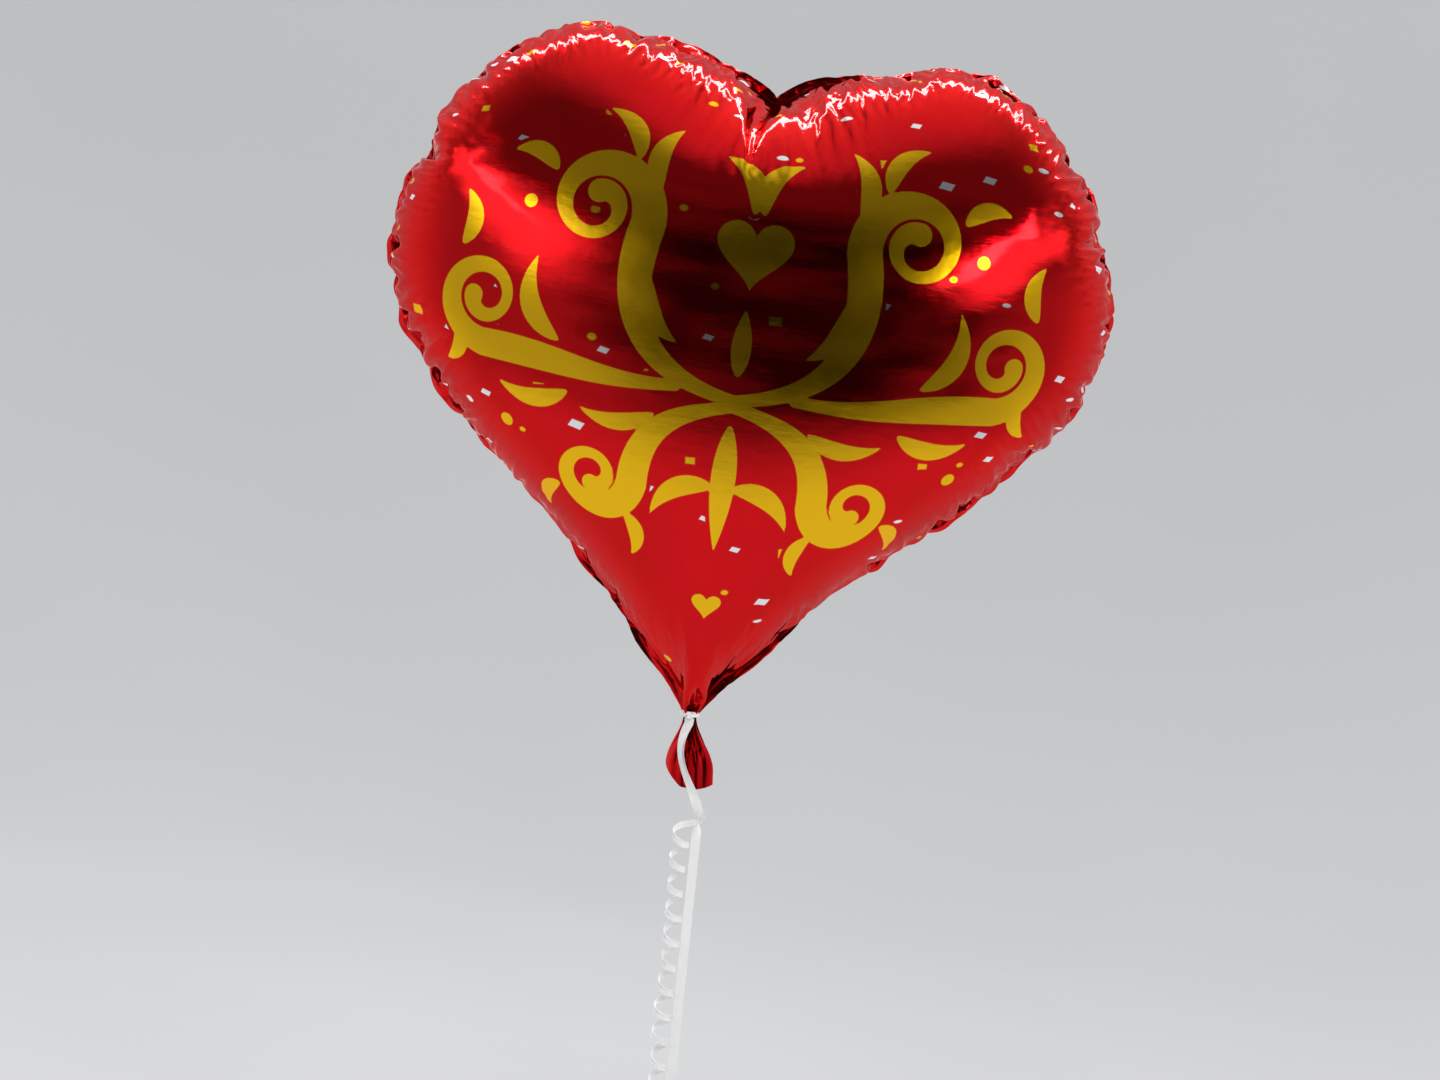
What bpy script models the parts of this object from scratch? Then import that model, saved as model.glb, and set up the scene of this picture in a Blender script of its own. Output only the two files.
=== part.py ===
"""Heart-shaped foil balloon with a self-sealing valve, a tied neck, its tab and two tails of curling ribbon.

Metres, +Z up. The origin is the knot, where the ribbon ties the neck. +Z runs up the heart's axis to the cleft,
X is the width and the printed front faces -Y. The belly is above the origin, the tab and ribbons hang below it.
"""

import math

import bmesh
import bpy
import numpy as np
from mathutils import Matrix, Vector

MM = 0.001

# The inflated envelope
WIDTH = 376 * MM
LOBE_TOP = 351 * MM
CLEFT = 322 * MM
DEPTH = 188 * MM
WIDEST = 236 * MM  # height of the widest place
CROWN = 185 * MM  # height of the point the domed rings shrink to
FLANGE_SCALE = 0.972  # seam line over outer edge, so the sealed flange is about 5 mm wide
DOME_POWER = 0.6  # how squarely the panels turn over at the seam
FILM = 0.8 * MM
GAP = 0.3 * MM
SIDE_STEPS = 32
DOME_RINGS = 8

# The gathered neck and its tie
NECK_WIDTH = 7.4 * MM
NECK_DEPTH = 4.6 * MM
NECK_BOTTOM = -2.2 * MM
NECK_TOP = 11 * MM
WRAP_HEIGHT = 3.2 * MM
WRAP_WALL = 1.1 * MM
KNOT_SIZE = (5.4 * MM, 4.0 * MM, 4.6 * MM)

# The tab of neck film below the tie
TAB_TOP = -4.0 * MM
TAB_LENGTH = 34 * MM
TAB_HALF_TOP = 3.4 * MM
TAB_HALF_BOTTOM = 12.5 * MM
TAB_SAG = 3.0 * MM  # how far the bottom edge bows down in the middle
TAB_FLAT_HALF = 5.0 * MM
TAB_WING_SLOPE = 0.5  # the side wings fall back from the flat middle
TAB_FILM = 0.6 * MM

# The self-sealing valve
VALVE_FILM = 0.4 * MM
VALVE_GAP = 0.5 * MM
LEAF_BOTTOM = 15 * MM
LEAF_TOP = 78 * MM
LEAF_HALF_BOTTOM = 5 * MM
LEAF_HALF = 13 * MM
LEAF_SHOULDER = 32 * MM

# The curling ribbon: its two tails lie together as far as the split, then one hangs straight and one is coiled
RIBBON_WIDTH = 4.8 * MM
RIBBON_FILM = 0.4 * MM
RIBBON_Y = -3.4 * MM
JOINT_GAP = 0.5 * MM
LEAD_TOP = -4.0 * MM
LEAD_BOW = 6.0 * MM
SPLIT = -53 * MM
SPLIT_X = 11.5 * MM
DRIFT = 0.036  # sideways run of both tails over their drop
STRAIGHT_LINK = 42 * MM
STRAIGHT_LINKS = 4
COIL_OFFSET = 7.4 * MM  # from the straight tail to the coil's axis
COIL_RADIUS = 4.2 * MM
COIL_PITCH = 13 * MM
COIL_LINKS = 4
COIL_FIRST = 0.024  # in turns from the coil's right side: just behind the straight tail
COIL_CUT = 0.75  # the links are cut where the coil faces the front
COIL_TURNS_PER_LINK = 3
COIL_STEPS_PER_TURN = 14
COIL_TOP = -55 * MM
COIL_LEAD_IN = 0.6  # turns over which the coil tightens from the straight tail to its own radius

RED = (0.62, 0.01, 0.03, 1.0)
DEEP_RED = (0.45, 0.01, 0.02, 1.0)
FROSTED = (0.85, 0.86, 0.86, 1.0)
PEARL = (0.93, 0.93, 0.91, 1.0)


def clear_scene():
    for obj in list(bpy.data.objects):
        bpy.data.objects.remove(obj)


def new_collection(name):
    collection = bpy.data.collections.new(name)
    bpy.context.scene.collection.children.link(collection)
    return collection


def new_material(name, colour, roughness, metallic):
    material = bpy.data.materials.new(name)
    material.use_nodes = True
    shader = material.node_tree.nodes["Principled BSDF"]
    shader.inputs["Base Color"].default_value = colour
    shader.inputs["Roughness"].default_value = roughness
    shader.inputs["Metallic"].default_value = metallic
    return material


def add_object(name, bm, collection, material=None, location=(0, 0, 0), parent=None):
    """A finished bmesh as a named object, at a place given in its parent's frame."""
    mesh = bpy.data.meshes.new(name)
    bm.to_mesh(mesh)
    bm.free()
    if material:
        mesh.materials.append(material)
    mesh.shade_smooth()
    mesh.set_sharp_from_angle(angle=math.radians(40))
    obj = bpy.data.objects.new(name, mesh)
    collection.objects.link(obj)
    obj.location = location
    obj.parent = parent
    return obj


def add_pivot(name, collection, place, parent=None):
    """An empty on a joint's axis, at a world place."""
    pivot = bpy.data.objects.new(name, None)
    pivot.empty_display_size = 5 * MM
    collection.objects.link(pivot)
    pivot.parent = parent
    base = world_place(parent) if parent else Vector((0, 0, 0))
    pivot.location = Vector(place) - base
    return pivot


def world_place(obj):
    """Where an unrotated object sits in the world, through its chain of parents."""
    place = Vector((0, 0, 0))
    while obj:
        place += obj.location
        obj = obj.parent
    return place


def solidify(obj, thickness, offset):
    """Gives an open surface its thickness: offset -1 grows inwards, 0 both ways."""
    modifier = obj.modifiers.new("film", "SOLIDIFY")
    modifier.thickness = thickness
    modifier.offset = offset
    modifier.use_even_offset = False


def bezier(a, b, c, d, steps):
    points = []
    for i in range(steps):
        t = i / steps
        u = 1 - t
        points.append(
            [u**3 * p + 3 * u * u * t * q + 3 * u * t * t * r + t**3 * s for p, q, r, s in zip(a, b, c, d)]
        )
    return points


def resample(points, steps):
    """The same outline as equally long steps."""
    points = np.array(points)
    run = np.r_[0, np.cumsum(np.linalg.norm(np.diff(points, axis=0), axis=1))]
    even = np.linspace(0, run[-1], steps + 1)
    return np.stack([np.interp(even, run, points[:, k]) for k in range(2)], axis=1)


def heart_half():
    """The right half of the heart's outer edge as (x, z), from the cleft clockwise to the neck."""
    half = WIDTH / 2
    lobe = 0.47 * half
    neck = 0.45 * NECK_WIDTH
    shoulder = (0.31 * half, 0.2 * WIDEST)
    top = bezier(
        (0, CLEFT), (0.09 * half, CLEFT + 12 * MM), (0.24 * half, LOBE_TOP), (lobe, LOBE_TOP), 40
    )
    side = bezier((lobe, LOBE_TOP), (0.75 * half, LOBE_TOP), (half, 0.855 * LOBE_TOP), (half, WIDEST), 40)
    lower = bezier((half, WIDEST), (half, 0.76 * WIDEST), (0.72 * half, 0.53 * WIDEST), shoulder, 40)
    tip = bezier(
        shoulder, (0.18 * half, 0.1 * WIDEST), (0.05 * half, 0.06 * WIDEST), (neck, 3 * MM), 40
    )
    return resample(top + side + lower + tip + [[neck, 3 * MM]], SIDE_STEPS)


def panel_surface(facing):
    """Half of one domed panel with its flat flange; facing is -1 for the front and 1 for the back."""
    outer = heart_half()
    seam_y = facing * (GAP / 2 + FILM)
    bm = bmesh.new()
    rings = []
    scales = [1.0] + [
        FLANGE_SCALE * math.sin(math.pi / 2 * (1 - k / DOME_RINGS)) for k in range(DOME_RINGS)
    ]
    for scale in scales:
        q = min(scale / FLANGE_SCALE, 1.0)
        rise = (DEPTH / 2 - FILM) * (1 - q * q) ** DOME_POWER
        ring = [
            bm.verts.new((x * scale, seam_y + facing * rise, CROWN + (z - CROWN) * scale)) for x, z in outer
        ]
        # The neck end and the cleft both meet the mirror plane.
        ring.append(bm.verts.new((0, seam_y + facing * rise, CROWN + (outer[-1][1] - CROWN) * scale)))
        rings.append(ring)
    crown = bm.verts.new((0, seam_y + facing * (DEPTH / 2 - FILM), CROWN))
    for one, two in zip(rings, rings[1:]):
        for a, b, c, d in zip(one, one[1:], two[1:], two):
            bm.faces.new((a, b, c, d) if facing > 0 else (d, c, b, a))
    for a, b in zip(rings[-1], rings[-1][1:]):
        bm.faces.new((a, b, crown) if facing > 0 else (crown, b, a))
    return bm


def neck_half(facing):
    """Half of the gathered neck: an elliptical stub cut along the seam plane."""
    bm = bmesh.new()
    height = NECK_TOP - NECK_BOTTOM
    middle = (NECK_TOP + NECK_BOTTOM) / 2
    bmesh.ops.create_cone(
        bm, cap_ends=True, segments=20, radius1=0.5, radius2=0.5, depth=1.0,
        matrix=Matrix.Translation((0, 0, middle)) @ Matrix.Diagonal((NECK_WIDTH, NECK_DEPTH, height, 1)),
    )
    cut = bmesh.ops.bisect_plane(
        bm, geom=bm.verts[:] + bm.edges[:] + bm.faces[:], plane_co=(0, facing * GAP, 0),
        plane_no=(0, -facing, 0), clear_outer=True,
    )
    bmesh.ops.holes_fill(bm, edges=[e for e in cut["geom_cut"] if isinstance(e, bmesh.types.BMEdge)])
    bmesh.ops.recalc_face_normals(bm, faces=bm.faces[:])
    return bm


def build_panel(name, facing, parts, cutters, foil, root):
    """A domed film panel: mirrored half, thickened inwards, joined to its half of the gathered neck."""
    obj = add_object(name, panel_surface(facing), parts, foil, parent=root)
    mirror = obj.modifiers.new("halves", "MIRROR")
    mirror.merge_threshold = 0.00005
    solidify(obj, FILM, -1)
    stub = add_object(name + "_neck", neck_half(facing), cutters, parent=root)
    stub.hide_render = True
    stub.display_type = "WIRE"
    union = obj.modifiers.new("neck", "BOOLEAN")
    union.operation = "UNION"
    union.object = stub
    return obj


def build_valve_leaf(name, facing, parts, film, pivot):
    """One leaf of the valve sleeve inside the belly: a flat strip, narrow at the neck, with a round top."""
    radius = LEAF_HALF
    top = LEAF_TOP - radius
    outline = [(LEAF_HALF_BOTTOM, LEAF_BOTTOM), (LEAF_HALF, LEAF_SHOULDER)]
    outline += [(radius * math.cos(a), top + radius * math.sin(a)) for a in np.linspace(0, math.pi / 2, 7)]
    outline += [(-x, z) for x, z in reversed(outline[:-1])]
    bm = bmesh.new()
    base = world_place(pivot)
    y = facing * (VALVE_GAP + VALVE_FILM) / 2 - base.y
    verts = [bm.verts.new((x, y, z - base.z)) for x, z in outline]
    bm.faces.new(verts)
    obj = add_object(name, bm, parts, film, parent=pivot)
    solidify(obj, VALVE_FILM, 0)
    return obj


def tab_surface(facing, distance, base):
    """One film of the tab, a fan from the neck with a flat middle and wings that fall back."""
    columns, rows = 8, 6
    bm = bmesh.new()
    grid = []
    for r in range(rows + 1):
        v = r / rows
        half = TAB_HALF_TOP + (TAB_HALF_BOTTOM - TAB_HALF_TOP) * v**0.8
        flat = min(TAB_FLAT_HALF, 0.7 * half)
        spans = [-half, -(half + flat) / 2, -flat, -flat / 2, 0, flat / 2, flat, (half + flat) / 2, half]
        line = []
        for x in spans:
            wing = max(0.0, abs(x) - flat) * TAB_WING_SLOPE
            drop = TAB_LENGTH * v + TAB_SAG * v * (1 - (x / half) ** 2)
            line.append(bm.verts.new((x, facing * distance + wing - base.y, TAB_TOP - drop - base.z)))
        grid.append(line)
    for one, two in zip(grid, grid[1:]):
        for c in range(columns):
            bm.faces.new((one[c], two[c], two[c + 1], one[c + 1]))
    return bm


def build_tab_film(name, facing, distance, thickness, parts, material, pivot):
    obj = add_object(name, tab_surface(facing, distance, world_place(pivot)), parts, material, parent=pivot)
    solidify(obj, thickness, 0)
    return obj


def build_wrap(parts, ribbon, root):
    """The turns of ribbon pulled tight round the neck: an elliptical band with rounded edges."""
    clearance = 0.4 * MM
    bm = bmesh.new()
    steps = 24
    loops = []
    for z in (-WRAP_HEIGHT / 2, WRAP_HEIGHT / 2):
        loop = []
        for k in range(steps):
            angle = 2 * math.pi * k / steps
            x = (NECK_WIDTH / 2 + clearance) * math.cos(angle)
            y = (NECK_DEPTH / 2 + clearance) * math.sin(angle)
            loop.append(bm.verts.new((x, y, z)))
        loops.append(loop)
    for k in range(steps):
        n = (k + 1) % steps
        bm.faces.new((loops[0][k], loops[0][n], loops[1][n], loops[1][k]))
    obj = add_object("ribbon_wrap", bm, parts, ribbon, parent=root)
    solidify(obj, WRAP_WALL, 1)
    bevel = obj.modifiers.new("round", "BEVEL")
    bevel.width = 0.35 * MM
    bevel.segments = 2
    return obj


def build_knot(parts, ribbon, root):
    """The overhand knot pulled down on the front of the wrap."""
    front = -(NECK_DEPTH / 2 + 0.4 * MM + WRAP_WALL)
    place = Matrix.Translation((0, front - KNOT_SIZE[1] / 2 - GAP, 0))
    bm = bmesh.new()
    bmesh.ops.create_uvsphere(
        bm, u_segments=14, v_segments=8, radius=0.5, matrix=place @ Matrix.Diagonal((*KNOT_SIZE, 1))
    )
    return add_object("ribbon_knot", bm, parts, ribbon, parent=root)


def straight_x(z):
    """The straight tail's centre line below the split."""
    return SPLIT_X + DRIFT * (SPLIT - z)


def lead_x(z):
    """The lead bows to the left past the tab, then swings right and levels out at the split."""
    v = (LEAD_TOP - z) / (LEAD_TOP - SPLIT)
    swing = v**3 * (4 - 3 * v)
    return straight_x(SPLIT) * swing - LEAD_BOW * math.sin(math.pi * v) * (1 - v)


def strip(centres, base):
    """A ribbon as an open strip whose flat side faces -Y: rows of two points, square to its centre line."""
    bm = bmesh.new()
    rows = []
    for k, (x, z) in enumerate(centres):
        before = centres[max(k - 1, 0)]
        after = centres[min(k + 1, len(centres) - 1)]
        run = Vector((after[0] - before[0], after[1] - before[1])).normalized()
        if k in (0, len(centres) - 1):
            run = Vector((0, -1))  # the ends are cut level, along the hinge
        across = Vector((-run.y, 0, run.x)) * RIBBON_WIDTH / 2
        centre = Vector((x, RIBBON_Y, z)) - base
        rows.append([bm.verts.new(centre - across), bm.verts.new(centre + across)])
    for one, two in zip(rows, rows[1:]):
        bm.faces.new((one[0], two[0], two[1], one[1]))
    return bm


def build_strip(name, centres, parts, ribbon, pivot):
    obj = add_object(name, strip(centres, world_place(pivot)), parts, ribbon, parent=pivot)
    solidify(obj, RIBBON_FILM, 0)
    return obj


def coil_point(turn):
    """A point on the coiled tail's centre line."""
    angle = 2 * math.pi * turn
    z = COIL_TOP - COIL_PITCH * turn
    loose = max(0.0, 1 - turn / COIL_LEAD_IN) ** 2
    radius = COIL_RADIUS + (COIL_OFFSET - COIL_RADIUS) * loose
    x = straight_x(z) - COIL_OFFSET + radius * math.cos(angle)
    return Vector((x, RIBBON_Y + radius * math.sin(angle), z))


def coil_across(turn):
    """Half the ribbon's width at a turn of the coil, square to its run and lying in the coil's own surface."""
    small = 0.01
    run = (coil_point(turn + small) - coil_point(turn - small)).normalized()
    angle = 2 * math.pi * turn
    outward = Vector((math.cos(angle), math.sin(angle), 0))
    return outward.cross(run).normalized() * RIBBON_WIDTH / 2


def coil_strip(first, last, base):
    """A stretch of the coil, from one turn count to another, as an open strip."""
    steps = round((last - first) * COIL_STEPS_PER_TURN)
    bm = bmesh.new()
    rows = []
    for k in range(steps + 1):
        turn = first + (last - first) * k / steps
        place = coil_point(turn) - base
        side = coil_across(turn)
        rows.append([bm.verts.new(place - side), bm.verts.new(place + side)])
    for one, two in zip(rows, rows[1:]):
        bm.faces.new((one[0], one[1], two[1], two[0]))
    return bm


def coil_cuts():
    """Where the coil is cut into links, in turns."""
    return [COIL_FIRST] + [COIL_CUT - 1 + COIL_TURNS_PER_LINK * k for k in range(1, COIL_LINKS + 1)]


def build_coil_link(name, first, last, parts, ribbon, pivot):
    trim = JOINT_GAP / 2 / math.hypot(2 * math.pi * COIL_RADIUS, COIL_PITCH)
    bm = coil_strip(first + trim, last - trim, world_place(pivot))
    obj = add_object(name, bm, parts, ribbon, parent=pivot)
    solidify(obj, RIBBON_FILM, 0)
    return obj


def main():
    clear_scene()
    parts = new_collection("heart_foil_balloon")
    cutters = new_collection("cutters")
    foil = new_material("red_foil", RED, 0.12, 1.0)
    neck_foil = new_material("neck_foil", DEEP_RED, 0.18, 1.0)
    valve_film = new_material("valve_film", FROSTED, 0.45, 0.0)
    ribbon = new_material("curling_ribbon", PEARL, 0.3, 0.0)

    root = add_pivot("envelope", parts, (0, 0, 0))
    build_panel("front_panel", -1, parts, cutters, foil, root)
    build_panel("back_panel", 1, parts, cutters, foil, root)
    build_wrap(parts, ribbon, root)
    build_knot(parts, ribbon, root)

    leaf_y = (VALVE_GAP + VALVE_FILM) / 2
    for side, facing in (("front", -1), ("back", 1)):
        pivot = add_pivot(f"valve_{side}_hinge", parts, (0, facing * leaf_y, LEAF_BOTTOM), root)
        build_valve_leaf(f"valve_{side}_leaf", facing, parts, valve_film, pivot)

    tab_pivot = add_pivot("tab_hinge", parts, (0, 0, TAB_TOP + 0.9 * MM), root)
    tail_y = GAP / 2 + VALVE_FILM / 2
    film_y = tail_y + VALVE_FILM / 2 + GAP + TAB_FILM / 2
    for side, facing in (("front", -1), ("back", 1)):
        build_tab_film(f"neck_tab_{side}", facing, film_y, TAB_FILM, parts, neck_foil, tab_pivot)
        build_tab_film(f"valve_{side}_tail", facing, tail_y, VALVE_FILM, parts, valve_film, tab_pivot)

    lead_pivot = add_pivot("ribbon_lead_swing", parts, (0, RIBBON_Y, 0), root)
    rows = np.linspace(LEAD_TOP, SPLIT + JOINT_GAP / 2, 15)
    build_strip("ribbon_lead", [(lead_x(z), z) for z in rows], parts, ribbon, lead_pivot)

    pivot = lead_pivot
    for k in range(STRAIGHT_LINKS):
        top = SPLIT - k * STRAIGHT_LINK
        pivot = add_pivot(f"straight_hinge_{k + 1}", parts, (straight_x(top), RIBBON_Y, top), pivot)
        rows = np.linspace(top - JOINT_GAP / 2, top - STRAIGHT_LINK + JOINT_GAP / 2, 3)
        build_strip(f"ribbon_straight_{k + 1}", [(straight_x(z), z) for z in rows], parts, ribbon, pivot)

    pivot = lead_pivot
    cuts = coil_cuts()
    for k in range(COIL_LINKS):
        place = coil_point(cuts[k])
        if k == 0:
            place.z = SPLIT
        pivot = add_pivot(f"curl_hinge_{k + 1}", parts, place, pivot)
        build_coil_link(f"ribbon_curl_{k + 1}", cuts[k], cuts[k + 1], parts, ribbon, pivot)


main()
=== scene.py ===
"""Looks of the heart-shaped foil balloon: inflated film panels with a printed ornament, the gathered neck and
its tab, the self-sealing valve and two tails of curling ribbon.

Metres, in the CAD frame: the tied neck is the origin, +Z runs up the heart and the printed front faces -Y.
"""

import math

import bpy
import numpy as np
from mathutils import Matrix, Vector
from mathutils.geometry import delaunay_2d_cdt
from mathutils.kdtree import KDTree


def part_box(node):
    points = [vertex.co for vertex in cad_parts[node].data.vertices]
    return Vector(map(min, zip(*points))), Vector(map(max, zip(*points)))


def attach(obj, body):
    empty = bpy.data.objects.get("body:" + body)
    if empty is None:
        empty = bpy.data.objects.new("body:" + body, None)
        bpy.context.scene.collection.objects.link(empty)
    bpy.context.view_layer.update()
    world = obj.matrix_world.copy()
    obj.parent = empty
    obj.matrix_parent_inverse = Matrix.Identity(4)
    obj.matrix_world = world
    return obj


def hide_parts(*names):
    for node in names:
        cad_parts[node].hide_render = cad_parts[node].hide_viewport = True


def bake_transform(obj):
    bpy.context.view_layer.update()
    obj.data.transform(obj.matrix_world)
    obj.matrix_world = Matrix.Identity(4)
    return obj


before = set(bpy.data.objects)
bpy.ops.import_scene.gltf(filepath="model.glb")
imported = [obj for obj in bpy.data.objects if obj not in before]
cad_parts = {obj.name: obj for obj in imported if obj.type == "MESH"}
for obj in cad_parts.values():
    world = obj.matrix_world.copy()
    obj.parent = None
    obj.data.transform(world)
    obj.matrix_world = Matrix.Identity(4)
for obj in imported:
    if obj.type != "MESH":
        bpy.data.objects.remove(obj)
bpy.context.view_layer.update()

MM = 0.001

# The flat pattern of one panel, in millimetres: half of a heart, from the cleft round to the neck
CLEFT = 392
LOBE = 403
WIDEST = 240
HALF_WIDTH = 228
NECK_HALF = 19
OUTLINE = (
    ((0, CLEFT), (24, CLEFT + 8), (50, LOBE), (86, LOBE)),
    ((86, LOBE), (162, LOBE), (HALF_WIDTH, WIDEST + 85), (HALF_WIDTH, WIDEST)),
    ((HALF_WIDTH, WIDEST), (HALF_WIDTH, WIDEST - 78), (162, 98), (56, 27)),
    ((56, 27), (40, 13), (NECK_HALF, 16), (NECK_HALF, 0)),
)
FLANGE = 5 * MM
PATTERN_SCALE = 1.018
LATTICE_HALF = 0.24  # half the width of the grid that fills the pattern
UV_SPAN = 0.47  # metres of flat film over the UV square
UV_MARGIN = 0.02

# The inflation: a coarse film first, and then the same film refined twice
COARSE = 5.4 * MM
COARSE_STEPS = 500
COARSE_CRUSH = 0.08
COARSE_STIFF = 0.05
FINE_STEPS = (22, 24)
FINE_CRUSH = (0.8, 1.0)
FINE_STIFF = 0.02
GATHER_TIME = 0.35  # share of the coarse steps in which the neck is drawn in
PRESSURE = 1e-5
DAMPING = 0.98
NECK_GATHER = 0.17  # width of the tied neck over the flat neck's

# The films. Those of the visible pieces are thinner than the CAD's
PANEL_GAP = 0.12 * MM  # each panel's flange off the sheet that both share
TAB_FILM = 0.07 * MM
SLEEVE_FILM = 0.05 * MM
VALVE_FILM = 0.06 * MM

# The ribbon, along the CAD's lines
RIBBON_WIDTH = 4.8 * MM
RIBBON_FILM = 0.16 * MM
RIBBON_Y = -3.4 * MM
LEAD_TOP = -4.0 * MM
LEAD_BOW = 6.0 * MM
SPLIT = -53 * MM
SPLIT_X = 11.5 * MM
DRIFT = 0.036
STRAIGHT_LINK = 42 * MM
LINKS = 4
LINE_STEP = 0.8 * MM
LINE_TOP = -1.4 * MM
OVERLAP = 0.5 * MM
COIL_OFFSET = 7.4 * MM
COIL_RADIUS = 4.2 * MM
COIL_PITCH = 13 * MM
COIL_TOP = -55 * MM
COIL_START = 0.20
COIL_CUTS = (0.024, 2.75, 5.75, 8.75, 11.75)
COIL_STEPS = 44  # for each turn
COIL_LEAD_END = -47 * MM
COIL_NARROWER = 0.34

FRONT, BACK, BOTH = 0, 1, 2


# ---------------- flat pattern


def bezier(points, steps):
    t = np.linspace(0, 1, steps + 1)[:, None]
    a, b, c, d = (np.array(p, float) for p in points)
    return (1 - t) ** 3 * a + 3 * (1 - t) ** 2 * t * b + 3 * (1 - t) * t * t * c + t**3 * d


def unit(rows):
    return rows / (np.linalg.norm(rows, axis=-1)[..., None] + 1e-15)


def smooth(share):
    """0 to 1 with a soft start and end."""
    share = np.clip(share, 0, 1)
    return share * share * (3 - 2 * share)


def run_along(points):
    """How far each point lies along a curve."""
    return np.r_[0, np.cumsum(np.linalg.norm(np.diff(points, axis=0), axis=1))]


def resample(points, spacing):
    """The same curve as equal steps of about one spacing."""
    run = run_along(points)
    even = np.linspace(0, run[-1], max(2, round(run[-1] / spacing)) + 1)
    return np.stack([np.interp(even, run, points[:, k]) for k in range(points.shape[1])], 1)


def mirrored(half):
    """A right half from the cleft to the neck, as one open curve from the left of the neck to its right."""
    return np.concatenate([half[:0:-1] * [-1, 1], half])


def inside(points, polygon):
    x, y = points.T
    found = np.zeros(len(points), bool)
    for (x1, y1), (x2, y2) in zip(polygon, np.roll(polygon, -1, 0)):
        crosses = (y1 > y) != (y2 > y)
        if crosses.any():
            found ^= crosses & (x < (x2 - x1) * (y - y1) / (y2 - y1 + 1e-30) + x1)
    return found


def distance_to(points, polygon):
    found = np.full(len(points), 1e9)
    for a, b in zip(polygon, np.roll(polygon, -1, 0)):
        along = b - a
        t = np.clip((points - a) @ along / (along @ along + 1e-30), 0, 1)
        found = np.minimum(found, np.linalg.norm(points - a - t[:, None] * along, axis=1))
    return found


def outlines():
    """The panel's cut edge and its seam line, as right halves from the cleft to the neck."""
    edge = np.concatenate([bezier(part, 200)[0 if k == 0 else 1 :] for k, part in enumerate(OUTLINE)]) * MM
    edge[:, 0] = edge[:, 0] * np.interp(edge[:, 1], [0.02, 0.1], [1, PATTERN_SCALE])
    edge[:, 1] *= PATTERN_SCALE
    run = np.gradient(edge, axis=0)
    run /= np.linalg.norm(run, axis=1)[:, None]
    seam = edge + np.stack([run[:, 1], -run[:, 0]], 1) * FLANGE
    seam[0] = (0, edge[0, 1] - FLANGE)
    seam = seam[seam[:, 0] >= 0]
    seam[-1, 1] = 0
    return edge, seam


def flat_mesh(spacing):
    """Points and triangles of the flat panel, and which points lie on the cut edge or the seam."""
    edge, seam = outlines()
    edge = mirrored(resample(edge, spacing))
    seam = mirrored(resample(seam, spacing))
    across = np.linspace(seam[0, 0], seam[-1, 0], round(2 * seam[-1, 0] / spacing) + 1)[1:-1]
    bottom = np.stack([across, np.zeros_like(across)], 1)
    row_height = spacing * math.sqrt(3) / 2
    lattice = []
    half = int(LATTICE_HALF / spacing) + 1
    columns = np.arange(-half, half + 1) * spacing
    for k, z in enumerate(np.arange(row_height * 0.9, edge[:, 1].max(), row_height)):
        shifted = columns + (spacing / 2 if k % 2 else 0)
        lattice.append(np.stack([shifted, np.full_like(shifted, z)], 1))
    lattice = np.concatenate(lattice)
    within = np.concatenate([seam, bottom[::-1]])
    lattice = lattice[inside(lattice, within)]
    lattice = lattice[distance_to(lattice, within) > 0.62 * spacing]
    points = np.concatenate([edge, seam, bottom, lattice])
    n, m, b = len(edge), len(seam), len(bottom)
    fixed = [(k, k + 1) for k in range(n - 1)] + [(n + k, n + k + 1) for k in range(m - 1)]
    chain = [n + m - 1] + [n + m + k for k in range(b)][::-1] + [n]
    fixed += list(zip(chain[:-1], chain[1:])) + [(0, n), (n - 1, n + m - 1)]
    vertices, _, faces, _, _, _ = delaunay_2d_cdt([Vector(p) for p in points], fixed, [], 1, 1e-9)
    vertices = np.array([tuple(v) for v in vertices])
    faces = np.array([tuple(f) for f in faces])
    faces = faces[inside(vertices[faces].mean(1), edge)]
    a, b_, c = (vertices[faces[:, k]] for k in range(3))
    area = (b_[:, 0] - a[:, 0]) * (c[:, 1] - a[:, 1]) - (b_[:, 1] - a[:, 1]) * (c[:, 0] - a[:, 0])
    faces[area < 0] = faces[area < 0][:, ::-1]
    on_rim = np.arange(len(vertices)) < n + m
    return vertices, faces, on_rim, np.arange(len(vertices)) < n


def envelope_mesh(spacing):
    """Both panels joined at the seam. The flange outside it is a single sheet."""
    points, faces, rim, edge = flat_mesh(spacing)
    flange = edge[faces].any(1) | rim[faces].all(1)
    inner = np.nonzero(~rim)[0]
    opposite = np.arange(len(points))
    opposite[inner] = len(points) + np.arange(len(inner))
    flat = np.concatenate([points, points[inner]])
    front = faces[~flange]
    triangles = np.concatenate([front, opposite[front][:, ::-1], faces[flange]])
    side = np.repeat([FRONT, BACK, BOTH], [len(front), len(front), flange.sum()])
    facing = np.zeros(len(flat))
    facing[inner] = -1
    facing[len(points) :] = 1
    return flat, triangles, side, facing


# ---------------- film simulation


def mesh_edges(triangles):
    """Each edge once, the edge that each face corner starts, and the points that face each other over it."""
    ends = np.sort(np.concatenate([triangles[:, [0, 1]], triangles[:, [1, 2]], triangles[:, [2, 0]]]), 1)
    facing = np.concatenate([triangles[:, 2], triangles[:, 0], triangles[:, 1]])
    edges, index, count = np.unique(ends, axis=0, return_inverse=True, return_counts=True)
    index = index.reshape(-1)
    order = np.argsort(index, kind="stable")
    start = np.r_[0, np.cumsum(count)[:-1]][count >= 2]
    return edges, index, np.stack([facing[order[start]], facing[order[start + 1]]], 1)


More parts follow.
